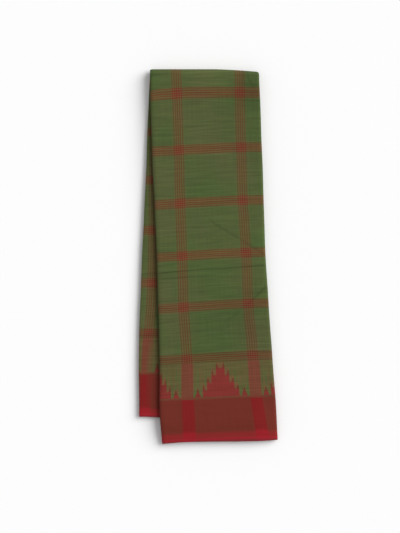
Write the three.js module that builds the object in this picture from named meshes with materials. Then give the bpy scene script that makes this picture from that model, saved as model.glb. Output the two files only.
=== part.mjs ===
// A cotton saree as it lies folded for the shelf. The cloth is folded in half five times along its
// length, which gives a strip of thirty-two plies, and the strip is doubled over once at the top fold.
// One long edge of the strip is its spine, where the last folding bends all the plies together. The
// other is the open edge, where the folded bundles of plies end one above the other.
// The upper half lies a little to the right of the lower half and reaches past its hem, so it leans
// towards the table along its spine edge and its hem, as far as so stiff a stack does.
// Sizes are in millimetres. +Z is up, +Y points from the hems to the top fold, and the origin is on the
// table, in the middle of the outline.

import * as THREE from "three";

const { degToRad, lerp, smoothstep } = THREE.MathUtils;

// The cloth
const plyCount = 32; // plies in the strip
const plyThickness = 0.25;
const halfThickness = plyCount * plyThickness; // the strip, and so each half of the doubled strip
const wall = 1.2; // a stretch that shows: the outermost plies of the strip, taken as one
const gap = 0.3; // between neighbouring solids
const spineRadius = halfThickness / 2; // the last fold goes round in a half circle
const bundleRadius = 2; // the bundle of sixteen plies that ends the outer face at the open edge
const bundleTurn = 225; // degrees, where the wall ends after going round that bundle
const turnInRadius = 1.6; // the smaller turn that ends the strip's other face

// The top fold
const foldEye = 0.8; // radius of the small hollow that stays inside the fold
const foldRadius = halfThickness + foldEye;
const foldSettle = 70; // way below the fold on which the upper half comes down onto the lower one
const foldFall = { from: 10, to: 80.4, drop: 4.2, power: 1.4 }; // the fold line falls towards the spine

// The lean of the upper half where nothing lies under it: the ways on which it would reach the table
const spineLean = 80;
const hemLean = 60;
const leanDelay = 3; // past the lower hem, before the lean begins

// Long edges: x of the open edge and of the spine edge, at a way below the top of the fold
const upperEdges = [
  { below: 0, open: -92.9, spine: 80.4 },
  { below: 50, open: -92.6, spine: 82.6 },
  { below: 120, open: -90.2, spine: 85.0 },
  { below: 210, open: -86.3, spine: 88.2 },
  { below: 300, open: -82.3, spine: 91.2 },
  { below: 385, open: -79.9, spine: 96.6 },
  { below: 470, open: -78.0, spine: 102.6 },
  { below: 555, open: -77.3, spine: 108.4 },
  { below: 598, open: -74.0, spine: 110.8 },
];
const lowerEdges = [
  { below: 0, open: -92.9, spine: 80.4 },
  { below: 60, open: -95.8, spine: 79.4 },
  { below: 170, open: -100.0, spine: 77.0 },
  { below: 230, open: -102.6, spine: 75.2 },
  { below: 345, open: -107.9, spine: 71.0 },
  { below: 440, open: -110.8, spine: 68.0 },
  { below: 556, open: -110.7, spine: 66.0 },
];

// Hems: how far below the top of the fold each one lies, from the open edge to the spine edge
const upperHem = [
  { x: -74, below: 598.0 },
  { x: -55, below: 596.1 },
  { x: -36, below: 594.8 },
  { x: -7, below: 594.2 },
  { x: 60, below: 593.5 },
  { x: 90, below: 592.7 },
  { x: 110.8, below: 591.2 },
];
const lowerHem = [
  { x: -110.7, below: 554.4 },
  { x: -92, below: 554.8 },
  { x: -82, below: 555.6 },
  { x: 66, below: 556.0 },
];

// The hidden plies from the strip's inner face to its outer face: how far the bundles' ends are set in
// from the open edge, and how far their selvedges are set in from the hem, at each height
const layers = [
  { height: 1.5, edge: 1.9, hem: 0.9 },
  { height: 1.95, edge: 0.5, hem: 0.2 },
  { height: 2.3, edge: 1.3, hem: 0.8 },
  { height: 2.65, edge: 0.3, hem: 0.3 },
  { height: 3.0, edge: 1.4, hem: 1.0 },
  { height: 3.4, edge: 0.6, hem: 0.2 },
  { height: 3.8, edge: 1.2, hem: 0.7 },
  { height: 4.2, edge: 0.9, hem: 0.3 },
  { height: 5.0, edge: 1.75, hem: 1.0 },
  { height: 5.8, edge: 1.9, hem: 0.3 },
  { height: 6.5, edge: 2.0, hem: 0.9 },
];

// How finely each direction is divided
const acrossShares = [0, 0.15, 0.3, 0.45, 0.6, 0.7, 0.75, 0.8, 0.85, 0.9, 0.95, 1];
const upperStops = [8.8, 30, 55, 80, 120, 210, 300, 385, 470, 520, 550, 560, 567, 574, 581, 588, 598];
const lowerStops = [8.8, 60, 170, 230, 345, 440, 556];
const foldSteps = 5; // in each quarter of the fold
const spineSteps = 8;
const bundleSteps = 4;
const turnInSteps = 3;

/** A table's column at a place along its key column, on straight lines between the rows. */
function readTable(rows, key, column, place) {
  const after = rows.findIndex((row) => row[key] >= place);
  if (after === 0) {
    return rows[0][column];
  }
  if (after < 0) {
    return rows[rows.length - 1][column];
  }
  const [low, high] = [rows[after - 1], rows[after]];
  return lerp(low[column], high[column], (place - low[key]) / (high[key] - low[key]));
}

/** How far the fold line lies below the top of the fold, at x. */
function foldLine(x) {
  const share = Math.max(0, (x - foldFall.from) / (foldFall.to - foldFall.from));
  return foldFall.drop * share ** foldFall.power;
}

/** Height of the upper half's underside: on the lower half, and leaning towards the table past it. */
function upperRest(x, below) {
  const settled = smoothstep(below - foldRadius, 0, foldSettle);
  const onLowerHalf = lerp(halfThickness + 2 * foldEye, halfThickness + gap, settled);
  const pastSpine = x - readTable(lowerEdges, "below", "spine", below);
  const pastHem = below - readTable(lowerHem, "x", "below", x) - leanDelay;
  const held = (1 - smoothstep(pastSpine, 0, spineLean)) * (1 - smoothstep(pastHem, 0, hemLean));
  return onLowerHalf * held;
}

// The doubled strip's two halves. z gives the height over the table of a point whose height in the strip
// is counted from the strip's inner face: the upper half lies face up and the lower half face down.
const halves = {
  upper: {
    edges: upperEdges,
    hem: upperHem,
    stops: upperStops,
    z: (x, below, height) => upperRest(x, below) + height,
  },
  lower: {
    edges: lowerEdges,
    hem: lowerHem,
    stops: lowerStops,
    z: (x, below, height) => halfThickness - height,
  },
};

/**
 * x of a point of the strip's section, which is {share, shift, height}: a share of the way from the open
 * edge to the spine edge, a shift in millimetres from there, and a height above the strip's inner face.
 */
function sectionX(half, point, stop) {
  const open = readTable(half.edges, "below", "open", stop);
  const spine = readTable(half.edges, "below", "spine", stop);
  return lerp(open, spine, point.share) + point.shift;
}

/** A point on a half, at a stop down its length; setIn shortens it at the hem. */
function onHalf(half, point, stop, setIn) {
  const x = sectionX(half, point, stop);
  const lastStop = half.stops[half.stops.length - 1];
  const share = (stop - foldRadius) / (lastStop - foldRadius);
  const hem = readTable(half.hem, "x", "below", x);
  const below = lerp(foldLine(x) + foldRadius, hem, share) - setIn;
  return [x, -below, half.z(x, below, point.height)];
}

/**
 * A point on the top fold; the angle is 90 degrees at the upper half and -90 at the lower one. At the
 * crest, the walls of the two halves end above and below it, at side 1 and -1, with the gap between them.
 */
function onFold(point, { angle, side }) {
  const x = sectionX(halves.upper, point, 0);
  const radius = foldEye + point.height;
  const turn = side ? side * Math.asin(gap / 2 / radius) : degToRad(angle);
  const y = radius * Math.cos(turn) - foldRadius - foldLine(x);
  return [x, y, foldRadius + radius * Math.sin(turn)];
}

/**
 * Closed solid on a grid of across x through x along cells, whose corners `place` puts in space. Each
 * cell's face is creased along its higher diagonal, so that neighbouring solids crease alike.
 */
function gridSolid(across, through, along, place) {
  const numbers = new Map();
  const positions = [];
  const triangles = [];
  const corner = (i, j, k) => {
    const key = `${i} ${j} ${k}`;
    if (!numbers.has(key)) {
      numbers.set(key, numbers.size);
      positions.push(...place(i, j, k));
    }
    return numbers.get(key);
  };
  const z = (n) => positions[3 * n + 2];
  const quad = (a, b, c, d) => {
    const corners = z(a) + z(c) >= z(b) + z(d) ? [a, b, c, a, c, d] : [b, c, d, b, d, a];
    triangles.push(...corners);
  };
  const side = (rows, columns, at) => {
    for (let m = 0; m < rows; m += 1) {
      for (let n = 0; n < columns; n += 1) {
        quad(at(m, n), at(m + 1, n), at(m + 1, n + 1), at(m, n + 1));
      }
    }
  };
  side(across, along, (i, k) => corner(i, through, k));
  side(along, across, (k, i) => corner(i, 0, k));
  side(across, through, (i, j) => corner(i, j, 0));
  side(through, across, (j, i) => corner(i, j, along));
  side(through, along, (j, k) => corner(0, j, k));
  side(along, through, (k, j) => corner(across, j, k));
  return facedOutward(positions, triangles);
}

/** Geometry whose triangles are turned round if they enclose a negative volume. */
function facedOutward(positions, triangles) {
  const vertex = (n) => new THREE.Vector3().fromArray(positions, 3 * n);
  let volume = 0;
  for (let n = 0; n < triangles.length; n += 3) {
    const [a, b, c] = triangles.slice(n, n + 3).map(vertex);
    volume += a.dot(b.cross(c));
  }
  const geometry = new THREE.BufferGeometry();
  geometry.setAttribute("position", new THREE.Float32BufferAttribute(positions, 3));
  geometry.setIndex(volume < 0 ? triangles.reverse() : triangles);
  geometry.computeVertexNormals();
  return geometry;
}

/** A point on the flat of the section, between the bundle at the open edge and the spine. */
function flatPoint(share, height) {
  return { share, shift: lerp(bundleRadius, -spineRadius, share), height };
}

/** Points on an arc of the section, from one angle to another, round a centre near one of its edges. */
function arcPoints(share, centre, radius, from, to, steps) {
  return Array.from({ length: steps + 1 }, (_, step) => {
    const angle = degToRad(lerp(from, to, step / steps));
    return {
      share,
      shift: centre.shift + radius * Math.cos(angle),
      height: centre.height + radius * Math.sin(angle),
    };
  });
}

/**
 * One face of the outer plies' section, a C that is open at the open edge: round the bundle of sixteen
 * plies, over the outer face, round the spine, back along the inner face and up at its turned-in end.
 * depth is 0 for the C's outside and `wall` for its inside.
 */
function outerPlies(depth) {
  const bundle = { shift: bundleRadius, height: halfThickness - bundleRadius };
  const spine = { shift: -spineRadius, height: spineRadius };
  const turnIn = { shift: turnInRadius, height: turnInRadius };
  const between = acrossShares.slice(1, -1);
  return [
    ...arcPoints(0, bundle, bundleRadius - depth, bundleTurn, 90, bundleSteps),
    ...between.map((share) => flatPoint(share, halfThickness - depth)),
    ...arcPoints(1, spine, spineRadius - depth, 90, -90, spineSteps),
    ...between.toReversed().map((share) => flatPoint(share, depth)),
    ...arcPoints(0, turnIn, turnInRadius - depth, -90, -180, turnInSteps),
  ];
}

/** Stops of one half, with its quarter of the fold before them. */
function stretchStops(half, side) {
  const fold = Array.from({ length: foldSteps - 1 }, (_, step) => ({
    angle: (side * 90 * (step + 1)) / foldSteps,
  }));
  return [{ side }, ...fold, ...half.stops.map((stop) => ({ half, stop }))];
}

/** The place of a section point at a stop of the strip, on the fold or on a half. */
function onStrip(point, at, setIn = 0) {
  return at.half ? onHalf(at.half, point, at.stop, setIn) : onFold(point, at);
}

/** The outer plies of one half, as a wall from the fold's crest to the hem. */
function stretch(half, side) {
  const faces = [outerPlies(wall), outerPlies(0)];
  const stops = stretchStops(half, side);
  return gridSolid(faces[0].length - 1, 1, stops.length - 1, (i, j, k) => onStrip(faces[j][i], stops[k]));
}

/** One level of the hidden plies' section: set in at the open edge, flat, and round at the spine. */
function hiddenPlies({ height, edge }) {
  const round = spineRadius - wall - gap;
  const reach = Math.sqrt(Math.max(0, round ** 2 - (height - spineRadius) ** 2));
  return [
    { share: 0, shift: edge, height },
    ...acrossShares.slice(1, -1).map((share) => flatPoint(share, height)),
    { share: 1, shift: reach - spineRadius, height },
  ];
}

/** The hidden plies of both halves, one body bent round the fold, with layered edges and hems. */
function innerLayers() {
  const fold = Array.from({ length: 2 * foldSteps - 1 }, (_, step) => ({
    angle: lerp(-90, 90, (step + 1) / (2 * foldSteps)),
  }));
  const stops = [
    ...lowerStops.toReversed().map((stop) => ({ half: halves.lower, stop })),
    ...fold,
    ...upperStops.map((stop) => ({ half: halves.upper, stop })),
  ];
  const last = stops.length - 1;
  const levels = layers.map(hiddenPlies);
  return gridSolid(acrossShares.length - 1, layers.length - 1, last, (i, j, k) => {
    const setIn = k === 0 || k === last ? layers[j].hem : 0;
    return onStrip(levels[j][i], stops[k], setIn);
  });
}

/** A named piece of cloth in one of the saree's colours. */
function clothPiece(name, geometry, color) {
  const material = new THREE.MeshStandardMaterial({ color, roughness: 0.9, metalness: 0 });
  const piece = new THREE.Mesh(geometry, material);
  piece.name = name;
  return piece;
}

const saree = new THREE.Group();
saree.add(
  clothPiece("front_stretch", stretch(halves.upper, 1), 0x4f5c38),
  clothPiece("back_stretch", stretch(halves.lower, -1), 0x566237),
  clothPiece("inner_layers", innerLayers(), 0x6e3029),
);

// The origin goes to the middle of the outline
const outline = new THREE.Box3().setFromObject(saree);
const middle = outline.getCenter(new THREE.Vector3());
saree.position.set(-middle.x, -middle.y, -outline.min.z);

export default saree;
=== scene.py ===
# %% [markdown]
# A folded cotton saree
# =====================
# A saree is one long woven cloth with nothing sewn to it. This one is folded in half five times along
# its length, into a strip of thirty-two plies, and the strip is doubled over once at its top fold.
# The strip has a rounded spine on its right, where the last folding bends all the plies together, and
# an open edge on its left, where bundles of plies end one above the other. The upper half lies a little
# to the right of the lower half, so a narrow strip of the lower half shows beside it.
#
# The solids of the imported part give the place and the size. Here each stretch of cloth that shows is
# made again as a thin sheet on its solid's form, with its creases, its plies and its weave.

import bpy
import numpy as np
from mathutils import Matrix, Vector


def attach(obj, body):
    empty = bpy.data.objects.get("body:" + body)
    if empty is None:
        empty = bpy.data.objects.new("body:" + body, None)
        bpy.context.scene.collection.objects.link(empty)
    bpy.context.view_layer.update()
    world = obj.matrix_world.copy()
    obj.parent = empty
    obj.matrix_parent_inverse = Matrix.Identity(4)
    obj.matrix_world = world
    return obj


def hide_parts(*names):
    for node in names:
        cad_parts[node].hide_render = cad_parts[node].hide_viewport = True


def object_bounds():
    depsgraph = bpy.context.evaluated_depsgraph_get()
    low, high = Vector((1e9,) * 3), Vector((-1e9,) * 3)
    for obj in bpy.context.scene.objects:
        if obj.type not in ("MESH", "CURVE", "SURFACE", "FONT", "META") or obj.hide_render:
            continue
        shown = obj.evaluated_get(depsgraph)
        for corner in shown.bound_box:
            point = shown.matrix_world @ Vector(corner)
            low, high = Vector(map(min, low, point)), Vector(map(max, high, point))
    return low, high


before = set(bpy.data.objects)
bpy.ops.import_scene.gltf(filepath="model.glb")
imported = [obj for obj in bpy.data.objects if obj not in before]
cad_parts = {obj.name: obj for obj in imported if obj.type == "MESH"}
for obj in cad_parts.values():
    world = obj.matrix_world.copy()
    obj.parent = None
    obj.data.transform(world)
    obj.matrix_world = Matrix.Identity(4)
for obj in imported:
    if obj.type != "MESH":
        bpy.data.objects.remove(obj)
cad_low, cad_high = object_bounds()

MM = 0.001  # the tables and formulas below are in millimetres
print("solids:", sorted(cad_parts), "size in mm:", [round(s / MM, 1) for s in cad_high - cad_low])

# %% [markdown]
# The folding
# -----------
# Everything is placed by the way the cloth was folded. Two numbers say how thick a ply lies and how
# many there are, and they give the half's thickness, the round of the spine and the rounds of the
# bundles at the open edge. Long edges and hems come from short tables, read with a smooth curve, since
# cloth that was folded by hand has edges that drift a little and no corners along them.

# %% Sizes of the folding
ply = 0.25  # one layer of pressed cotton
plies = 32
half_thickness = ply * plies
half_middle = half_thickness / 2  # the level at which the strip's plies turn back
spine_radius = half_middle
bundle_radius = ply * 16 / 2  # sixteen plies end the strip's outer face at the open edge
small_bundle_radius = ply * 8 / 2  # eight plies end its inner face
tuck = 8.0  # how far a sheet is followed back in from the open edge, where it is lost between others
sheet_thickness = 0.3  # of a ply with its fuzz

fold_eye = 0.8  # radius of the small hollow inside the top fold
fold_radius = half_thickness + fold_eye
fold_settle = 70.0  # way below the fold on which the upper half comes down onto the lower one
fold_fall = {"start": 10.0, "end": 80.4, "drop": 4.2, "power": 1.4}

edge_fall = 6.5  # width of the soft rounding on top along the open edge
outer_fall, inner_fall = 1.4, 0.4  # how far the outer face, and the inner one, sink at that edge
spine_lean, hem_lean = 80.0, 60.0  # ways on which the upper half would reach the table past the lower one
lean_delay = 3.0  # how far past the lower hem it starts to come down
rest_gap = 0.3  # between the two halves

fold_top = cad_high.y / MM
upper_last, lower_last = 598.0, 556.0  # how far each hem's lowest point lies below it

# below the top of the fold, x of the open edge, x of the spine edge
upper_edges = np.array([
    [0, -92.9, 80.4],
    [50, -92.6, 82.6],
    [120, -90.2, 85.0],
    [210, -86.3, 88.2],
    [300, -82.3, 91.2],
    [385, -79.9, 96.6],
    [470, -78.0, 102.6],
    [555, -77.3, 108.4],
    [upper_last, -74.0, 110.8],
])
lower_edges = np.array([
    [0, -92.9, 80.4],
    [60, -95.8, 79.4],
    [170, -100.0, 77.0],
    [230, -102.6, 75.2],
    [345, -107.9, 71.0],
    [440, -110.8, 68.0],
    [lower_last, -110.7, 66.0],
])
# x, and how far the hem lies below the top of the fold there
upper_hem = np.array([
    [-74, upper_last],
    [-55, 596.1],
    [-36, 594.8],
    [-7, 594.2],
    [60, 593.5],
    [90, 592.7],
    [110.8, 591.2],
])
lower_hem = np.array([
    [-110.7, 554.4],
    [-92, 554.8],
    [-82, 555.6],
    [66, lower_last],
])
halves = {
    "upper": {"edges": upper_edges, "hem": upper_hem, "last": upper_last, "side": 1},
    "lower": {"edges": lower_edges, "hem": lower_hem, "last": lower_last, "side": -1},
}


def read(rows, column, place):
    """A table's column at places along its first column.

    Between two rows it is a cubic curve that has, at each row, the slope between its neighbours.
    Past the first and last rows it goes on straight.
    """
    key, value = rows[:, 0], rows[:, column]
    slope = np.gradient(value, key)
    n = np.clip(np.searchsorted(key, place) - 1, 0, len(key) - 2)
    span = key[n + 1] - key[n]
    way = (place - key[n]) / span
    t = np.clip(way, 0, 1)
    from_low = (2 * t**3 - 3 * t**2 + 1) * value[n] + (t**3 - 2 * t**2 + t) * span * slope[n]
    from_high = (3 * t**2 - 2 * t**3) * value[n + 1] + (t**3 - t**2) * span * slope[n + 1]
    end_slope = np.where(way < 0, slope[n], slope[n + 1])
    return from_low + from_high + (way - t) * span * end_slope


def ease(way, length):
    """0 before the way begins, 1 past its length, and 3t^2 - 2t^3 in between."""
    t = np.clip(way / length, 0, 1)
    return t * t * (3 - 2 * t)


def fold_line(x):
    """How far the top fold has dropped at x: nothing on the left, then a power of the way to the right."""
    share = np.clip((x - fold_fall["start"]) / (fold_fall["end"] - fold_fall["start"]), 0, None)
    return fold_fall["drop"] * share ** fold_fall["power"]


def upper_rest(x, below):
    """Height of the upper half's underside: on the lower half, and easing down past its edges."""
    settled = ease(below - fold_radius - fold_line(x), fold_settle)
    on_lower = (half_thickness + 2 * fold_eye) * (1 - settled) + (half_thickness + rest_gap) * settled
    past_spine = x - read(lower_edges, 2, below)
    past_hem = below - read(lower_hem, 1, x) - lean_delay
    return on_lower * (1 - ease(past_spine, spine_lean)) * (1 - ease(past_hem, hem_lean))


print("half thickness:", half_thickness, "fold radius:", fold_radius)

# %% [markdown]
# Placing a point of the strip
# ----------------------------
# A point of the strip is known by where it is in the strip's section and by its station along the
# strip. The section is the view from the hem: a share of the way from the open edge to the spine, a
# shift in millimetres from there, and a height over the strip's inner face. A station is a turn round
# the top fold, in degrees, and then a way down the half from 0 at the fold to 1 at the hem.
# One function turns both into x, y and z for every sheet in this file, so that sheets which lie on each
# other in the strip also lie on each other in space.


# %% From the strip to space
def stations_of(half, fold_steps, stops, crest=1.0):
    """Stations from the fold's crest to the hem: a turn in degrees and a way, one row each."""
    last = halves[half]["last"]
    turns = np.linspace(crest, 90, fold_steps + 1)[:-1] * halves[half]["side"]
    ways = (stops - fold_radius) / (last - fold_radius)
    on_fold = np.stack([turns, np.zeros_like(turns)], axis=1)
    on_half = np.stack([np.full_like(ways, 90.0 * halves[half]["side"]), ways], axis=1)
    return np.vstack([on_fold, on_half])


def on_strip(half, section, stations, set_in=0.0, wander=0.0):
    """x, y, z and the way below the fold's top, for every station (rows) and section point (columns).

    x: between the two long edges, by the point's share, plus its shift and any wander.
    Way below: between the fold line and the hem, by the station's way, less what it is set in.
    On the fold the point goes round the fold's axis at a radius of the eye plus its height, and its
    way below is counted round that arc. Where a face is on top, the plies nearest to it sink towards
    the open edge, by a fall times the square of what is left of the rounding's width.
    """
    side = halves[half]["side"]
    share, shift, height = section.T[:, None, :]
    turn, way = stations.T[:, :, None]
    stop = fold_radius + (halves[half]["last"] - fold_radius) * way
    edges = halves[half]["edges"]
    open_x, spine_x = read(edges, 1, stop), read(edges, 2, stop)
    x = open_x + (spine_x - open_x) * share + shift + wander
    start = fold_radius + fold_line(x)
    below = start + (read(halves[half]["hem"], 1, x) - start) * way - set_in * (way > 0)
    nearness = np.clip(1 - (x - open_x) / edge_fall, 0, 1) ** 2
    facing_up = (1 + turn / 90) / 2
    sunk = outer_fall * facing_up * np.clip(height / half_middle - 1, 0, None)
    raised = inner_fall * (1 - facing_up) * np.clip(1 - height / half_middle, 0, None)
    height = height - nearness * (sunk - raised)
    angle = np.radians(turn)
    radius = fold_eye + height
    bent = np.abs(turn) < 90
    flat_z = upper_rest(x, below) + height if side > 0 else half_thickness - height
    y = np.where(bent, fold_top - start + radius * np.cos(angle), fold_top - below)
    z = np.where(bent, fold_radius + radius * np.sin(angle), flat_z)
    unrolled = np.where(bent, start - radius * (np.pi / 2 - np.abs(angle)), below)
    return np.stack([x + 0 * y, y, z], axis=-1), unrolled


def arc(share, shift, height, radius, first, last, steps):
    """Section points round a bend: centre plus radius times cosine and sine of the angle."""
    angle = np.radians(np.linspace(first, last, steps + 1))
    return np.stack([
        np.full_like(angle, share),
        shift + radius * np.cos(angle),
        height + radius * np.sin(angle),
    ], axis=1)


def run(first, last, steps):
    """Section points at even steps on the straight way between two others, without those two."""
    t = np.linspace(0, 1, steps + 1)[1:-1, None]
    return np.asarray(first) * (1 - t) + np.asarray(last) * t


# %% [markdown]
# Thin sheets as closed shells
# ----------------------------
# A real ply has two faces and an edge. A plane with a Solidify modifier would do, but here both faces
# are already known from the section, so the shell is made directly: two grids, one for each face, and
# four rows of quads that close its rim. The volume that it encloses tells whether its quads face out.


# %% Meshes from grids
def closed_shell(outer, inner, outer_cloth, inner_cloth):
    """A sheet whose two faces are grids of the same size, closed round the rim.

    It comes back as its corners, its quads and its cloth coordinates. The sum over the quads of corner
    p times (corner q cross corner r), and the same for p, r and s, is six times the volume inside.
    Where that is negative, every quad is turned round.
    """
    rows, columns = outer.shape[:2]
    points = np.concatenate([outer.reshape(-1, 3), inner.reshape(-1, 3)])
    a = np.arange(rows * columns).reshape(rows, columns)
    b = a + rows * columns

    def quads(grid):
        corners = [grid[:-1, :-1], grid[1:, :-1], grid[1:, 1:], grid[:-1, 1:]]
        return np.stack([c.ravel() for c in corners], axis=1)

    faces = np.concatenate([
        quads(a),
        quads(b)[:, ::-1],
        quads(np.stack([a[0], b[0]]))[:, ::-1],
        quads(np.stack([a[-1], b[-1]])),
        quads(np.stack([a[:, 0], b[:, 0]])),
        quads(np.stack([a[:, -1], b[:, -1]]))[:, ::-1],
    ])
    p, q, r, s = (points[faces[:, n]] for n in range(4))
    volume = np.sum(p * np.cross(q, r)) + np.sum(p * np.cross(r, s))
    cloth = np.concatenate([outer_cloth.reshape(-1, 2), inner_cloth.reshape(-1, 2)])
    return points, faces if volume > 0 else faces[:, ::-1], cloth


def cloth_piece(name, shells, crease_shade=None):
    """One object from closed shells. The last argument is how much painted shade darkens each corner along
    the creases, if any does.
    """
    offsets = np.cumsum([0] + [len(points) for points, _, _ in shells])
    points = np.concatenate([shell[0] for shell in shells]) * MM
    faces = np.concatenate([shell[1] + offset for shell, offset in zip(shells, offsets)])
    cloth = np.concatenate([shell[2] for shell in shells]) * MM
    mesh = bpy.data.meshes.new(name)
    mesh.vertices.add(len(points))
    mesh.vertices.foreach_set("co", points.astype(np.float32).ravel())
    mesh.loops.add(faces.size)
    mesh.loops.foreach_set("vertex_index", faces.astype(np.int32).ravel())
    mesh.polygons.add(len(faces))
    mesh.polygons.foreach_set("loop_start", np.arange(0, faces.size, 4, dtype=np.int32))
    mesh.polygons.foreach_set("use_smooth", np.ones(len(faces), bool))
    mesh.update(calc_edges=True)
    mesh.uv_layers.new(name="cloth").data.foreach_set("uv", cloth[faces.ravel()].astype(np.float32).ravel())
    # painted shade along the creases, kept on every corner to darken the cloth's colour
    if crease_shade is not None:
        mesh.attributes.new("crease", "FLOAT", "POINT").data.foreach_set("value", crease_shade.astype(np.float32))
    mesh.set_sharp_from_angle(angle=np.radians(50))
    piece = bpy.data.objects.new(name, mesh)
    bpy.context.scene.collection.objects.link(piece)
    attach(piece, "root")
    print(name, "triangles:", 2 * len(faces), "valid:", not mesh.validate())
    return piece


# %% [markdown]
# Where the pattern lies on the cloth
# -----------------------------------
# The weave belongs to the cloth and not to space, so each point also gets its place on the cloth: u
# runs along the saree's length, which is across the folded strip, and v is the distance from the
# nearer selvedge, which is the way up from the hem. The bands were pressed a little out of true, so
# short tables say where the weft bands and the warp bands lie on each half. Round the spine and the
# bundles u is carried on by the distance along the section, as a tape laid on the cloth would give it.

# %% Cloth coordinates
check_length = 100.0  # u from one weft band to the next, on the flat cloth
# below, x of two neighbouring weft bands
upper_weft_bands = np.array([
    [0, -51.9, 49.1],
    [127.5, -47.2, 51.9],
    [215, -45.0, 54.9],
    [299.6, -41.8, 60.3],
    [380.8, -39.6, 64.1],
    [458.9, -34.5, 71.0],
    [527.4, -33.0, 76.5],
    [575, -30.6, 84.8],
])
lower_weft_bands = np.array([
    [0, -85.7, 15.3],
    [60, -85.0, 16.0],
    [140, -86.6, 14.4],
    [250, -87.6, 13.4],
    [315, -88.6, 12.4],
    [363, -90.5, 10.5],
    [410, -94.0, 7.0],
    [440, -96.4, 4.6],
    [511, -100.0, 1.0],
    [556, -101.8, -0.8],
])
# how far below the fold's top at the open edge, and v there
upper_rows = np.array([
    [-5.0, 595],
    [43.2, 555],
    [131.8, 471],
    [216.7, 387],
    [300.4, 303],
    [382.2, 219],
    [464.4, 135],
    [528.1, 68],
    [582.3, 14],
    [598, 0],
])
lower_rows = np.array([
    [-5.0, 595],
    [24, 555],
    [100.4, 471],
    [176.9, 387],
    [257.3, 303],
    [341, 219],
    [421.4, 135],
    [486, 68],
    [541.7, 14],
    [554.5, 0],
])
# below, and how much higher the same warp thread lies at the spine edge
upper_tilt = np.array([
    [0, 4.8],
    [40, 5.2],
    [128, 7.6],
    [296, 8.6],
    [420, 9.4],
    [525, 6.6],
    [596, 6.4],
])
lower_tilt = np.array([
    [0, 2.9],
    [100, 1.0],
    [200, 1.5],
    [556, 0.0],
])
# share of the way from the open edge to the spine, and how much of that rise is reached there
tilt_shape = np.array([
    [0, 0.0],
    [0.25, 0.3],
    [0.83, 0.93],
    [1, 1.0],
])
pattern = {
    "upper": {"bands": upper_weft_bands, "rows": upper_rows, "tilt": upper_tilt, "bow": 18.0},
    "lower": {"bands": lower_weft_bands, "rows": lower_rows, "tilt": lower_tilt, "bow": 0.0},
}


def cloth_place(half, section, points, unrolled, shown):
    """u and v of every point of a sheet.

    u: the distance along the section from the point at column `shown`, where u is read from x, in
    checks of a weft band's spacing. The lower half shows a face that is three checks further round the
    spine, where u runs back, so that the same threads meet at the fold's crest. v: read from the way
    below the fold, plus the warp's tilt, plus its bow in the first hundred millimetres, which is the
    share times the square of what is left of it.
    """
    x, height = points[..., 0], section[None, :, 2]
    steps = np.hypot(np.diff(x, axis=1), np.diff(height + 0 * x, axis=1))
    tape = np.concatenate([np.zeros((len(x), 1)), np.cumsum(steps, axis=1)], axis=1)
    forward = np.sign(x[:, shown + 1] - x[:, shown])[:, None]
    unrolled_x = x[:, shown][:, None] + forward * (tape - tape[:, shown][:, None])
    rows = pattern[half]
    first, second = read(rows["bands"], 1, unrolled), read(rows["bands"], 2, unrolled)
    u = check_length * (unrolled_x - first) / (second - first)
    if half == "lower":
        u = 3 * check_length - u
    share = np.clip(section[None, :, 0], 0, 1)
    tilt = read(rows["tilt"], 1, unrolled) * read(tilt_shape, 1, share)
    near_fold = ease(unrolled + 5, 40) * (1 - ease(unrolled - 45, 60))
    bow = rows["bow"] * share * (1 - share) ** 2 * near_fold
    v = read(rows["rows"], 1, unrolled + (tilt + bow))
    return np.stack([u, v], axis=-1)


# %% [markdown]
# Creases
# -------
# Pressed cotton keeps the lines it was folded on. They could be a bump in the material, but they catch
# the light as shapes and belong in the mesh. Each crease is a soft trough along a few placed points,
# with a low shoulder on both sides and its own depth and width. Most die out towards an end inside the
# cloth. The longest is the storage crease across the middle, which goes through every ply, so the
# lower half has it too. Under them the whole face rises and falls by about a quarter of a millimetre.
# Along the creases the cloth's colour is also made darker, as painted shade in the troughs.

# %% Creases and undulation
# the places it passes, as x and below; depth; width; the share of the depth at its two ends
upper_creases = [
    ([(-81, 325.8), (-36.6, 322.2), (27.5, 317.8), (88.5, 313.2)], 0.75, 1.2, (1.4, 1.2)),
    ([(-81, 335.3), (-34, 332.2), (28, 328.9)], 0.6, 1.6, (1.1, 0.1)),
    ([(-1.5, 239.6), (6.7, 245.2), (49.0, 271.0), (88.5, 295.2)], 0.6, 1.6, (0.2, 0.9)),
    ([(60, 376.0), (76.3, 361.5), (87.8, 350.1), (93.5, 344.5)], 0.9, 1.5, (0.2, 1.1)),
    ([(24, 404.7), (36.5, 395.6), (48, 386.6), (60, 376)], 0.45, 1.7, (0.3, 0.3)),
    ([(55, 4), (55.5, 14), (54.5, 25)], 0.5, 1.4, (1.0, 0.2)),
    ([(61, 3), (62, 14), (67, 24), (71, 30)], 0.4, 1.9, (1.0, 0.6)),
]
lower_creases = [
    ([(-107, 327.0), (-60, 323.5), (0, 318.5), (70, 312.0)], 0.5, 1.7, (0.9, 0.6)),
    ([(-107, 338.0), (-50, 335.0), (10, 333.0)], 0.22, 2.0, (0.7, 0.1)),
    ([(-20, 150.0), (25, 190.0), (70, 232.0)], 0.3, 2.4, (0.1, 0.7)),
    ([(-109, 468.0), (-70, 455.0), (-30, 449.0)], 0.24, 2.2, (0.6, 0.1)),
]
deepest = max(depth for _, depth, _, _ in upper_creases)


def wave(place, seed, lengths, depth):
    """A gentle wander along one direction: sines of the given lengths, with seeded phases."""
    phases = np.random.default_rng(seed).uniform(0, 2 * np.pi, len(lengths))
    parts = [np.sin(2 * np.pi * place / length + phase) for length, phase in zip(lengths, phases)]
    return depth * sum(parts) / len(lengths)


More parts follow.
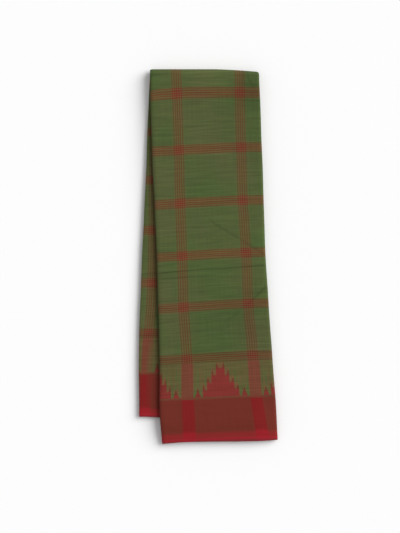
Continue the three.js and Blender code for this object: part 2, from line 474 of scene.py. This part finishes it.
def crease_depth(x, below, creases):
    """How far creases press the face down, and how much painted shade darkens it along them, from 0 to 1.

    The depth is each crease's own times a bell of the distance, exp(-(d / width)^2), less a third of a
    bell 3.2 times as wide, which makes the low shoulders. Along a crease it goes from one end's share
    to full in the middle and to the other end's share. The painted shade is the bell times the depth
    over the deepest crease's.
    """
    pressed, crease_shade = np.zeros_like(x), np.zeros_like(x)
    for places, depth, width, (first_share, last_share) in creases:
        places = np.array(places, float)
        nearest = np.full_like(x, np.inf)
        along = np.zeros_like(x)
        for n, (a, b) in enumerate(zip(places[:-1], places[1:])):
            step = b - a
            t = np.clip(((x - a[0]) * step[0] + (below - a[1]) * step[1]) / (step @ step), 0, 1)
            d = np.hypot(x - a[0] - t * step[0], below - a[1] - t * step[1])
            closer = d < nearest
            nearest = np.where(closer, d, nearest)
            along = np.where(closer, (n + t) / (len(places) - 1), along)
        share = np.interp(along, [0, 0.35, 0.6, 1], [first_share, 1, 0.9, last_share])
        bell = np.exp(-(nearest / width) ** 2)
        pressed += depth * share * (bell - 0.3 * np.exp(-((nearest / width / 3.2) ** 2)))
        crease_shade += depth / deepest * share * bell
    return pressed, np.clip(crease_shade, 0, 1)


def face_rise(x, below, seed):
    """The face's gentle rise and fall: slow waves both ways, stronger in some places than in others."""
    across = wave(x + 0.2 * below, seed, (61, 37, 83), 0.16)
    along = wave(below - 0.3 * x, seed + 1, (97, 151, 58), 0.22)
    return (across + along) * (0.6 + 0.4 * wave(x + below, seed + 2, (170, 230), 1.0))


# %% [markdown]
# The two stretches that show
# ---------------------------
# The outermost ply of the strip goes round the bundle of sixteen at the open edge, over the outer face,
# round the spine, back along the inner face and round the bundle of eight. On the upper half the outer
# face is on top. The lower half lies face down, so there the inner face is on top. Each half's stretch
# is one sheet, from the crest of the top fold to its hem, and the two meet at the crest.


# %% The outermost ply
def outer_ply(depth, outer_steps, inner_steps):
    """Section of the outermost ply: a C from one tucked end to the other, `depth` in from its face."""
    big = arc(0, bundle_radius, half_thickness - bundle_radius, bundle_radius - depth, 270, 90, 10)
    spine = arc(1, -spine_radius, spine_radius, spine_radius - depth, 90, -90, 16)
    small = arc(0, small_bundle_radius, small_bundle_radius, small_bundle_radius - depth, -90, -270, 8)
    first = (0, tuck, half_thickness - 2 * bundle_radius + depth)
    last = (0, tuck, 2 * small_bundle_radius - depth)
    return np.vstack([
        first,
        run(first, big[0], 2),
        big,
        run(big[-1], spine[0], outer_steps),
        spine,
        run(spine[-1], small[0], inner_steps),
        small,
        run(small[-1], last, 2),
        last,
    ])


def stretch(name, half, stops, outer_steps, inner_steps, creases, seed):
    """The outermost ply of one half as a piece, with relief on its upper face, and its flat size.

    The relief fades in over the first millimetres from the long edges and from the fold. The other
    face has only its creases, at half depth and pressed into the cloth, so that it stays flat under.
    The two long edges wander a little, in opposite directions.
    """
    side = halves[half]["side"]
    stations = stations_of(half, 14, stops, crest_turn)
    faces = []
    for depth in (0.0, sheet_thickness):
        section = outer_ply(depth, outer_steps, inner_steps)
        wander = wave(stations[:, 1:] * halves[half]["last"], seed + 7, (190, 97), 0.25)
        wander = wander * (1 - 2 * section[None, :, 0]) * (np.abs(stations[:, :1]) == 90)
        points, unrolled = on_strip(half, section, stations, wander=wander)
        x, height = points[..., 0], section[None, :, 2]
        outer_face, inner_face = height > half_thickness - 0.5, height < 0.5
        on_top, under = (outer_face, inner_face) if side > 0 else (inner_face, outer_face)
        inset = np.minimum(x - x.min(axis=1, keepdims=True), x.max(axis=1, keepdims=True) - x)
        fade = ease(inset - 1.5, 6.0) * ease(unrolled - fold_radius, 12.0)
        pressed, crease_shade = crease_depth(x, unrolled, creases)
        relief = face_rise(x, unrolled, seed) - pressed
        points[..., 2] += fade * np.where(on_top, relief, np.where(under, 0.5 * pressed.clip(0, None), 0))
        # painted shade along the creases: full on the face on top, half under it, fading out at the long
        # edges
        crease_shade = crease_shade * ease(inset, 2.0) * np.where(on_top, 1.0, np.where(under, 0.5, 0.0))
        faces.append((section, points, unrolled, crease_shade))
    (section, outer, unrolled, crease_shade), (_, inner, _, _) = faces
    shown_height = half_thickness if side > 0 else 0.0
    off_middle = np.abs(section[:, 0] - 0.5) + 10 * np.abs(section[:, 2] - shown_height)
    cloth = cloth_place(half, section, outer, unrolled, int(np.argmin(off_middle)))
    shell = closed_shell(outer, inner, cloth, cloth)
    piece = cloth_piece(name, [shell], np.concatenate([crease_shade.ravel()] * 2))
    return piece, developed(outer)


def developed(outer):
    """The flat size of a sheet: its mean length across the section, and its greatest hem to crest."""
    across = np.linalg.norm(np.diff(outer, axis=1), axis=2).sum(axis=1).mean()
    along = np.linalg.norm(np.diff(outer, axis=0), axis=2).sum(axis=0).max()
    return across * MM, along * MM


crest_turn = 0.08  # degrees between each half's sheet and the crest, a gap thinner than a thread
# rows of corners, closest where the storage crease crosses
upper_stops = np.concatenate([
    np.linspace(fold_radius, 308, 110),
    np.linspace(308, 338, 52)[1:],
    np.linspace(338, upper_last, 100)[1:],
])
lower_stops = np.concatenate([
    np.linspace(fold_radius, 300, 90),
    np.linspace(300, 345, 30)[1:],
    np.linspace(345, lower_last, 70)[1:],
])
front_cloth, front_flat = stretch("front_cloth", "upper", upper_stops, 96, 20, upper_creases, 3)
back_cloth, back_flat = stretch("back_cloth", "lower", lower_stops, 30, 66, lower_creases, 11)
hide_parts("front_stretch")
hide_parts("back_stretch")
print("flat sizes in metres:", np.round(front_flat, 3), np.round(back_flat, 3))

# %% [markdown]
# The plies between
# -----------------
# Between the outermost plies lie the others. At the open edge they end, from the inner face on, in a
# bundle of four, a bundle of two and the saree's own two ends. At the hems all of them end in their
# selvedges, one under the other, and at the spine they go round inside each other like rings.
# Only their ends can be seen, so each ply is followed a short way in from there, and one plain body
# fills the middle. A ply lies at a level: its distance from the middle of the strip. It is above the
# middle on its way to the spine and below it on its way back.

# %% Bundles at the open edge
ply_thickness = 0.18  # what is left of a ply's thickness beside the dark gap to the next one
half_ply = ply_thickness / 2
edge_depth = 9.0  # how far in from the open edge these plies are followed
short_of_hem = 0.6
to_crest = 14.0  # the way round the outside of the fold, from either half to the crest
# height of the bundle's middle over the inner face, its radius, and how far it is set in
bundles = [
    (2.5, 0.5, 0.7),
    (3.25, 0.25, 1.25),
]
# height of each end of the saree, and how far it is set in
loose_ends = [
    (3.625, 0.35),
    (3.875, 0.95),
]


def folded_end(centre, radius, level):
    """Section of a ply folded back on itself: a flat leg, a half circle of that level, a flat leg."""
    bend = arc(0, radius, centre, level, 90, 270, 8)
    top, bottom = (0, edge_depth, centre + level), (0, edge_depth, centre - level)
    return np.vstack([top, run(top, bend[0], 2), bend, run(bend[-1], bottom, 2), bottom])


def whole_strip(section, upper, lower, wander, shown=0):
    """A sheet's face at both halves' stations, from the lower hem round the fold to the upper hem."""
    low, low_way = on_strip("lower", section, lower[::-1], wander=wander[: len(lower)])
    high, high_way = on_strip("upper", section, upper, wander=wander[len(lower) :])
    low_cloth = cloth_place("lower", section, low, low_way, shown)
    high_cloth = cloth_place("upper", section, high, high_way, shown)
    return np.concatenate([low, high]), np.concatenate([low_cloth, high_cloth])


edge_upper = stations_of("upper", 10, np.linspace(fold_radius, upper_last - short_of_hem, 120), 4.5)
edge_lower = stations_of("lower", 10, np.linspace(fold_radius, lower_last - short_of_hem, 110), 4.5)
edge_way = np.concatenate([
    -edge_lower[::-1, 1] * lower_last - to_crest,
    edge_upper[:, 1] * upper_last + to_crest,
])[:, None]


def edge_ply(outer_section, inner_section, drift):
    """A ply that ends at the open edge, followed along the whole strip, as a closed shell."""
    outer, cloth = whole_strip(outer_section, edge_upper, edge_lower, drift)
    inner, _ = whole_strip(inner_section, edge_upper, edge_lower, drift)
    return closed_shell(outer, inner, cloth, cloth)


edge_shells = []
for n, (centre, radius, set_in) in enumerate(bundles):
    drift = set_in + wave(edge_way, 20 + n, (170, 83, 41), 0.35)
    for level in np.arange(ply / 2, radius, ply):
        faces = [folded_end(centre, radius, level + offset) for offset in (half_ply, -half_ply)]
        edge_shells.append(edge_ply(*faces, drift))
for n, (height, set_in) in enumerate(loose_ends):
    drift = set_in + wave(edge_way, 30 + n, (130, 71, 29), 0.3)
    faces = [
        np.array([(0, inward, height + offset) for inward in (edge_depth, 4.0, 1.0, 0.0)])
        for offset in (half_ply, -half_ply)
    ]
    edge_shells.append(edge_ply(*faces, drift))
open_edge_plies = cloth_piece("open_edge_plies", edge_shells)
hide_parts("inner_layers")

# %% [markdown]
# Selvedges at the hems
# ---------------------
# Seen from the hem, the plies are nested rings that were pressed flat: round at the spine, and round
# again in each bundle at the open edge. Fifteen of them lie inside the outermost one. Every selvedge
# ends a little further in or out than the next, by up to a millimetre, as hand folding leaves them.
# A ring that is carried on by the outermost ply, or by a bundle made above, just ends.

# %% Plies at the hems
hem_depth = 18.0  # how far in from the hem these plies are followed
inner_rings = plies // 2 - 1
last_plain_ring = 8  # the lower ends of the rings up to this one are carried on by other sheets
bend_steps, flat_steps = 5, 14


def plain_end(inset, height, first, last):
    """As many section points as a bend has, a fiftieth of a millimetre apart, for an end without one."""
    return (0, inset, height) - np.outer(np.linspace(first, last, bend_steps + 1), (0, 0.02, 0))


def nested_ply(ring, offset):
    """Section of one ring, shifted outward by `offset`: bundle of sixteen, top, spine, bottom, bundle.

    In a bundle a ply at a distance d from the bundle's middle ends with a quarter circle of radius d,
    which meets the one that comes back on the other side of that middle.
    """
    level = (ring + 0.5) * ply + offset
    over = level - bundle_radius
    turn = 90 if over > 0 else 270
    top_end = arc(0, bundle_radius, half_middle + bundle_radius, abs(over), 180, turn, bend_steps)
    if ring == 0:
        top_end = plain_end(tuck + 0.5, half_middle + level, bend_steps, 0)
    over = half_middle - level - small_bundle_radius
    turn = 90 if over > 0 else -90
    bottom_end = arc(0, small_bundle_radius, small_bundle_radius, abs(over), turn, 2 * turn, bend_steps)
    if ring <= last_plain_ring:
        bottom_end = plain_end(edge_depth + 0.5, half_middle - level, 0, bend_steps)
    spine = arc(1, -spine_radius, half_middle, level, 90, -90, 12)
    top, bottom = run(top_end[-1], spine[0], flat_steps), run(spine[-1], bottom_end[0], flat_steps)
    return np.vstack([top_end, top, spine, bottom, bottom_end])


def hem_plies(half, seed):
    """All the plies inside the outermost one, for the last stretch before a hem.

    Each is set in by its own length, which leans along the section and wavers by 0.14.
    """
    last = halves[half]["last"]
    stations = stations_of(half, 0, np.linspace(last - hem_depth, last, 5))
    random = np.random.default_rng(seed)
    shells = []
    for ring in range(inner_rings):
        outer_section, inner_section = nested_ply(ring, half_ply), nested_ply(ring, -half_ply)
        share = np.linspace(0, 1, len(outer_section))[None, :]
        base, lean, phase = random.uniform(0.15, 0.85), random.uniform(-0.35, 0.35), random.uniform(0, 6.3)
        set_in = np.clip(base + lean * (share - 0.5) + 0.14 * np.sin(9 * share + phase), 0.08, 1.3)
        outer, unrolled = on_strip(half, outer_section, stations, set_in=set_in)
        inner, _ = on_strip(half, inner_section, stations, set_in=set_in)
        cloth = cloth_place(half, outer_section, outer, unrolled, bend_steps + 3)
        shells.append(closed_shell(outer, inner, cloth, cloth))
    return shells


hem_plies_upper = cloth_piece("hem_plies_upper", hem_plies("upper", 41))
hem_plies_lower = cloth_piece("hem_plies_lower", hem_plies("lower", 42))
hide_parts("inner_layers")
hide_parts("inner_layers")

# %% [markdown]
# The middle of the stack
# -----------------------
# No light reaches the plies further in. One plain body stands for them. It bends round the fold with
# the strip and stays a little way inside the sheets.

# %% The hidden plies
core_low, core_high = 0.8, 7.0  # over the strip's inner face
core_from_hems, core_from_edge, core_from_spine = 20.0, 10.0, 5.0
core_steps = 14

core_upper = stations_of("upper", 8, np.linspace(fold_radius, upper_last - core_from_hems, 60), 5.5)
core_lower = stations_of("lower", 8, np.linspace(fold_radius, lower_last - core_from_hems, 50), 5.5)
straight = np.zeros((len(core_upper) + len(core_lower), 1))


def core_face(height):
    """One face of the body: flat at this height, from inside the open edge to inside the spine."""
    first, last = (0, core_from_edge, height), (1, -core_from_spine, height)
    section = np.vstack([first, run(first, last, core_steps), last])
    return whole_strip(section, core_upper, core_lower, straight, core_steps // 2)


(core_top, core_cloth), (core_under, core_under_cloth) = core_face(core_high), core_face(core_low)
core_shell = closed_shell(core_top, core_under, core_cloth, core_under_cloth)
folded_core = cloth_piece("folded_core", [core_shell])
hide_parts("inner_layers")

# %% [markdown]
# Node expressions
# ----------------
# A woven pattern is a good deal of arithmetic on u and v. Written out as nodes by hand it is hard to
# read, so a small class wraps a node's output. Adding, multiplying or comparing such a value adds the
# Math nodes that do it, and `node` makes any other kind.


# %% Values in a node tree
class Thread:
    """One output of a node. Arithmetic on it adds Math nodes to its tree."""

    def __init__(self, tree, socket):
        self.tree = tree
        self.socket = socket

    def node(self, kind, settings=None, inputs=None, output=0):
        """A new node of this kind: its settings are made first, then its inputs are set or linked."""
        made = self.tree.nodes.new("ShaderNode" + kind)
        for name, value in (settings or {}).items():
            setattr(made, name, value)
        for name, value in (inputs or {}).items():
            if isinstance(value, Thread):
                self.tree.links.new(value.socket, made.inputs[name])
            else:
                made.inputs[name].default_value = value
        return Thread(self.tree, made.outputs[output] if made.outputs else None)

    def math(self, operation, *values):
        return self.node("Math", {"operation": operation}, dict(enumerate(values)))

    def __add__(self, other):
        return self.math("ADD", self, other)

    def __radd__(self, other):
        return self.math("ADD", other, self)

    def __sub__(self, other):
        return self.math("SUBTRACT", self, other)

    def __rsub__(self, other):
        return self.math("SUBTRACT", other, self)

    def __mul__(self, other):
        return self.math("MULTIPLY", self, other)

    def __rmul__(self, other):
        return self.math("MULTIPLY", other, self)

    def __truediv__(self, other):
        return self.math("DIVIDE", self, other)

    def __abs__(self):
        return self.math("ABSOLUTE", self)

    def floor(self):
        return self.math("FLOOR", self)

    def larger(self, other):
        return self.math("MAXIMUM", self, other)

    def smaller(self, other):
        return self.math("MINIMUM", self, other)

    def sine(self):
        return self.math("SINE", self)

    def centred(self, period):
        """This value less its nearest multiple of the period."""
        return self - (self / period + 0.5).floor() * period

    def below(self, limit, soft):
        """1 where this value is well below the limit, 0 well above it, over a soft edge."""
        return ((limit - self) / soft + 0.5).larger(0).smaller(1)

    def mix(self, first, second):
        """A colour: the first where this value is 0 and the second where it is 1."""
        settings = {"data_type": "RGBA", "clamp_factor": True}
        return self.node("Mix", settings, {0: self, 6: first, 7: second}, output=2)


# %% [markdown]
# The cotton's colours
# --------------------
# Warp threads run along the saree and weft threads across it. Where both are green the cloth is green,
# where one is red it is a brown red, and where both are red it is red. So each zone of the cloth needs
# two colours: with its ground weft, and with the red weft of a weft band. The zones follow from the
# distance to the selvedge: a red selvedge, a brick red border, a fine dark line, an olive zone that
# holds the temple row, and then the green field with a red warp band in every check.

# %% Colours
light_on_cloth = 1.08  # how bright a white cloth looks under the lamps
haze = 0.007  # the white light that the fibres' gloss and fuzz add


def seen(red, green, blue):
    """The paint for a colour that is seen as these sRGB numbers: linear, less the haze, over the light."""
    values = np.array([red, green, blue]) / 255
    linear = np.where(values <= 0.04045, values / 12.92, ((values + 0.055) / 1.055) ** 2.4)
    return (*(np.clip(linear - haze, 0.002, 1) / light_on_cloth), 1.0)


field_cool, field_warm, field_red_weft = seen(77, 93, 53), seen(86, 91, 57), seen(107, 70, 47)
warp_stripe = {"ground": seen(112, 66, 46), "red_weft": seen(134, 30, 38)}
olive = {"ground": seen(94, 88, 55), "red_weft": seen(115, 65, 50)}
olive_green, olive_brown = seen(80, 96, 54), seen(110, 84, 56)
dark_line = {"ground": seen(109, 61, 46), "red_weft": seen(112, 62, 46)}
border = {"ground": seen(111, 49, 40), "red_weft": seen(126, 35, 35)}
selvedge = {"ground": seen(137, 44, 43), "red_weft": seen(150, 36, 42)}
# a bright thread in the selvedge, and painted shade for the hem's very edge, where the cloth rounds under
selvedge_line, hem_edge_shade = seen(155, 40, 50), seen(118, 50, 56)
temple = {"ground": seen(127, 52, 47), "red_weft": seen(133, 42, 42)}
temple_tip, temple_halo = seen(92, 62, 42), seen(118, 78, 55)

# %% [markdown]
# Woven pattern
# -------------
# A band is five thin stripes on a ground of mixed threads. The distance to the band's middle, taken
# modulo the check, says whether a point is in the band, and the same distance modulo the stripes'
# pitch says whether it is on a stripe. The temple row is a stepped pyramid with a small horn on the
# outer side of each step, and one spike on each side of it. Its outline is a height worked out from
# the distance to the pyramid's middle, and the cloth is in the pyramid where its height over the
# border is less than that. Threads that were dyed before weaving never line up exactly, so fine
# streaks of noise shift the outline up and down. A few soft ovals say where the dye took unevenly,
# and a few more are painted shade and painted light that make the cloth darker or lighter in patches.

# %% The chart of the weave
# v where each zone ends, from the selvedge up to the field
hem_edge_shade_top, selvedge_top, border_top, line_top, olive_top = 1.8, 13.5, 67.0, 70.0, 127.0
bright_thread, bright_reach = 4.5, 1.3  # in the selvedge
warp_period, warp_first = 84.0, 135.0
stripe_count, stripe_width = 5, 1.95
warp_pitch, weft_pitch = 3.3, 3.5

pyramid_top, pyramid_shift = 47.5, 0.7  # its height, and how far it is off the middle of the check
step_width, step_drop, steps_a_side = 6.8, 12.0, 4
top_step_cut = 0.4  # how much narrower the top step is on each side
horn_height, horn_place, horn_reach = 9.0, 0.8, 0.34  # the last two in steps
spike_height, spike_place, spike_reach = 15.5, 34.1, 4.4
bleed, ikat_shift, thread_wander = 9.0, 7.0, 1.6

# strength, then u and v of an oval's middle, then its reaches along u and v
faded_reds = [
    (0.35, 300, 400, 60, 170),
    (0.75, 291, 75, 11, 75),
]
# painted shade: soft ovals that make the cloth darker
painted_shade_ovals = [
    (0.17, 135, 557, 60, 36),
    (0.06, 130, 500, 75, 80),
    (0.07, 45, 195, 110, 75),
    (0.08, 115, 195, 45, 75),
    (0.12, 124, 95, 24, 60),
]
# painted light: a soft oval that makes the cloth lighter near the top fold
painted_light_ovals = [(0.14, 50, 585, 60, 26)]
even_dye = [(1.0, 298, 95, 26, 60)]


# %% The checked cotton
def red_band(distance, pitch):
    """A band at this distance from its middle: how red it is in the field, and where it is woven solid.

    In the field it is five lines on a ground of mixed threads, and both grow paler towards the band's
    edges, by 0.45 times the square of the distance over the half width. The third value is how light
    the band's ribs are: half a ground, less the lines.
    """
    half = stripe_count * pitch / 2
    away = distance / half
    paler = (1 - 0.45 * away * away).larger(0)
    ground = abs(distance).below(half, 3.0)
    lines = abs(distance).below(half, 0.6) * abs(distance.centred(pitch)).below(stripe_width / 2, 0.6)
    return paler * (0.3 * ground + 0.47 * lines), ground * (0.92 + 0.08 * lines), 0.5 * ground - lines


def temple_outline(u):
    """Height over the border at u of the pyramid, of its steps without horns, and of the spikes.

    The step is the whole number in (a + cut) / width, where a is the distance to the pyramid's middle,
    and each step is lower than the one before by the drop. A horn, or a spike, is its height times 1
    less the distance from its place over its reach.
    """
    a = abs((u - check_length / 2 + pyramid_shift).centred(check_length))
    q = (a + top_step_cut) / step_width
    step = q.floor()
    inside = q.below(steps_a_side, 0.02)
    flat_top = (pyramid_top - step_drop * step) * inside
    horn = horn_height * (1 - abs(q - step - horn_place) / horn_reach).larger(0) * inside
    spike = spike_height * (1 - abs(a - spike_place) / spike_reach).larger(0)
    return flat_top + horn, flat_top, spike


def checked_cotton(name, painted_ply_shade):
    """The saree's cotton. The second argument darkens it a little, as painted shade on the plies that only
    show their edges between the others.
    """
    material = bpy.data.materials.new(name)
    material.use_nodes = True
    tree = material.node_tree
    tree.nodes.clear()
    start = Thread(tree, None)
    cloth = start.node("UVMap", {"uv_map": "cloth"})
    u = start.node("SeparateXYZ", inputs={0: cloth}) / MM
    v = start.node("SeparateXYZ", inputs={0: cloth}, output=1) / MM

    def streaks(u_scale, v_scale):
        """Noise from 0 to 1 with this many spots a millimetre: 0.01 and 1 make long thin streaks."""
        place = start.node("CombineXYZ", inputs={0: u * u_scale, 1: v * v_scale})
        settings = {"noise_dimensions": "2D"}
        return start.node("TexNoise", settings, {"Vector": place, "Scale": 1.0, "Detail": 2.0})

    warp_slubs = streaks(0.012, 0.9)
    thick_slubs = streaks(0.02, 0.3)
    weft_slubs = streaks(0.8, 0.014)
    drift = streaks(0.012, 0.012)
    uneven = streaks(0.35, 0.5)

    def ovals(rows):
        """Soft ovals: strength times 1 less the squares of both distances over their reaches."""
        total = 0.0
        for strength, u_middle, v_middle, u_reach, v_reach in rows:
            across, along = (u - u_middle) / u_reach, (v - v_middle) / v_reach
            total = strength * (1 - across * across - along * along).larger(0) + total
        return total

    # Bands: the threads wander by a fraction of a millimetre
    loose_v = v + (streaks(0.03, 0.004) - 0.5) * 1.2
    loose_u = u + (streaks(0.004, 0.03) - 0.5) * thread_wander
    warp_lines, _, warp_ribs = red_band((loose_v - warp_first).centred(warp_period), warp_pitch)
    weft_lines, weft_solid, weft_ribs = red_band(loose_u.centred(check_length), weft_pitch)
    in_field = 1 - v.below(olive_top, 0.6)
    weft = (in_field * weft_lines + (1 - in_field) * weft_solid) * (1 - ovals(faded_reds))
    warp = in_field * 1.12 * warp_lines

    # The temple row, over the border's upper line
    height = v - line_top + (streaks(1.1, 0.03) - 0.5) * ikat_shift
    outline, flat_top, spike = temple_outline(loose_u + (streaks(0.05, 1.1) - 0.5) * thread_wander)
    over_line = 1 - v.below(line_top, 0.8)
    in_temple = height.below(outline.larger(spike), 3.0) * over_line
    halo = height.below((flat_top + bleed).larger(outline + 2.0), bleed) * flat_top.larger(0).smaller(1)
    tip = (1 - height.below(flat_top.larger(spike * 0.5) + 0.5, 4.0)) * in_temple
    dyed = (streaks(0.32, 0.022) - 0.5) * height.below(34.0, 34.0) * (1 - ovals(even_dye))

    # Each zone with the ground weft and with the red weft
    greens = ((drift - 0.5) * 2.6 + 0.5).larger(0).smaller(1).mix(field_cool, field_warm)
    shades = []
    for weft_name in ("ground", "red_weft"):
        red = weft_name == "red_weft"
        shade = warp.mix(field_red_weft if red else greens, warp_stripe[weft_name])
        olive_zone = olive[weft_name]
        if not red:
            olive_zone = (dyed * 6.0).mix(olive_zone, olive_green)
            olive_zone = (dyed * -3.5).mix(olive_zone, olive_brown)
            olive_zone = (0.7 * halo).mix(olive_zone, temple_halo)
        olive_zone = in_temple.mix(olive_zone, (0.75 * tip).mix(temple[weft_name], temple_tip))
        shade = v.below(olive_top, 0.6).mix(shade, olive_zone)
        shade = v.below(line_top, 2.0).mix(shade, dark_line[weft_name])
        shade = v.below(border_top, 2.0).mix(shade, border[weft_name])
        shade = v.below(selvedge_top + (2.0 if red else 0.0), 5.0).mix(shade, selvedge[weft_name])
        shade = (0.85 * abs(v - bright_thread).below(bright_reach, 1.5)).mix(shade, selvedge_line)
        # painted shade: a darker rim along the hem's very edge, where the cloth rounds under
        shade = (0.6 * v.below(hem_edge_shade_top, 1.5)).mix(shade, hem_edge_shade)
        shades.append(shade)
    colour = weft.mix(*shades)

    # Uneven threads: darker and lighter streaks both ways, most along the warp and less in the border
    in_border = v.below(border_top, 6.0)
    warp_streaks = (warp_slubs - 0.5) * 0.45 + (thick_slubs - 0.5) * 0.4
    tone = 1 + warp_streaks * (1 - 0.7 * in_border) + (weft_slubs - 0.5) * (0.25 - 0.1 * in_border)
    # the first warp band over the olive zone is a tenth darker
    tone = tone * (1 - 0.1 * abs(v - warp_first).below(8.0, 3.0))
    tone = tone * (1 + weft_ribs * (0.06 + 0.16 * in_field)) * (1 + 0.22 * in_field * warp_ribs)
    # painted shade and painted light in soft patches
    tone = tone * (1 - ovals(painted_shade_ovals)) * (1 + ovals(painted_light_ovals))
    # painted shade along the creases, up to three tenths darker
    crease = start.node("Attribute", {"attribute_name": "crease"}, output=2)
    # painted shade for the plies that only show their edges: the whole colour a little darker
    tone = (tone + (uneven - 0.5) * 0.12) * (1.0 - painted_ply_shade) * (1 - 0.3 * crease)
    grey = start.node("CombineXYZ", inputs={0: tone, 1: tone, 2: tone})
    colour = start.node("VectorMath", {"operation": "MULTIPLY"}, {0: colour, 1: grey})

    # The weave itself: each thread passes over one and under the next
    thread = 0.42  # from one thread to the next
    over = (u * (np.pi / thread)).sine() * (v * (np.pi / thread)).sine()
    relief = 0.5 + 0.5 * over + (warp_slubs - 0.5) * 1.4 + (weft_slubs - 0.5) * 0.8
    bump = start.node("Bump", inputs={"Strength": 0.35, "Distance": 0.00012, "Height": relief})
    shader = start.node("BsdfPrincipled", inputs={
        "Base Color": colour,
        "Roughness": 0.86 + (uneven - 0.5) * 0.12,
        "Normal": bump,
        "Specular IOR Level": 0.14,
        "Sheen Weight": 0.03,
        "Sheen Roughness": 0.5,
    })
    start.node("OutputMaterial", inputs={"Surface": shader})
    print(name, "nodes:", len(tree.nodes))
    return material


checked_cloth = checked_cotton("checked_cotton", 0.0)
# the same cotton, made darker as painted shade, for the plies that show only their edges
shaded_ply_cloth = checked_cotton("checked_cotton_shaded_edges", 0.12)
for piece in (front_cloth, back_cloth):
    piece.data.materials.append(checked_cloth)
for piece in (open_edge_plies, hem_plies_upper, hem_plies_lower, folded_core):
    piece.data.materials.append(shaded_ply_cloth)

# %% [markdown]
# Floor, lamps and camera
# -----------------------
# The saree lies on a white table and is seen from straight above. A sun lamp with a wide disc gives a
# soft shadow along the upper half's open edge, and an even sky fills it. The camera is far off, so
# that the two halves keep the same scale. Its lens is worked out so that the picture is 849 millimetres
# high where the upper half's hem lies.

# %% Table and light
frame_height, frame_middle = 849.0, (-13.5, -15.7)
camera_height, face_height = 3600.0, half_thickness * 1.75
scene = bpy.context.scene
scene.view_settings.view_transform = "Standard"

floor_mesh = bpy.data.meshes.new("table")
reach, under = 12.0, -0.0001
corners = [(-reach, -reach, under), (reach, -reach, under), (reach, reach, under), (-reach, reach, under)]
floor_mesh.from_pydata(corners, [], [(0, 1, 2, 3)])
floor = bpy.data.objects.new("table", floor_mesh)
scene.collection.objects.link(floor)
floor_paint = bpy.data.materials.new("white_table")
floor_paint.use_nodes = True
floor_shader = floor_paint.node_tree.nodes["Principled BSDF"]
floor_shader.inputs["Base Color"].default_value = (0.9, 0.9, 0.9, 1)
floor_shader.inputs["Roughness"].default_value = 0.8
floor_shader.inputs["Specular IOR Level"].default_value = 0.1
floor_mesh.materials.append(floor_paint)

sun_strength, sky_strength = 3.05, 0.5
sun_azimuth, sun_elevation, sun_disc = np.radians(25), np.radians(37.5), np.radians(48)
sun_lamp = bpy.data.lights.new("sun", "SUN")
sun_lamp.energy = sun_strength
sun_lamp.angle = sun_disc
sun = bpy.data.objects.new("sun", sun_lamp)
sun.rotation_euler = (0, np.pi / 2 - sun_elevation, sun_azimuth)
scene.collection.objects.link(sun)

world = bpy.data.worlds.new("sky")
world.use_nodes = True
background = world.node_tree.nodes["Background"]
background.inputs["Color"].default_value = (1, 1, 1, 1)
background.inputs["Strength"].default_value = sky_strength
scene.world = world

camera_data = bpy.data.cameras.new("camera")
camera_data.sensor_width = 36.0
camera_data.lens = camera_data.sensor_width * (camera_height - face_height) / frame_height
camera = bpy.data.objects.new("camera", camera_data)
camera.location = [place * MM for place in (*frame_middle, camera_height)]
scene.collection.objects.link(camera)
scene.camera = camera
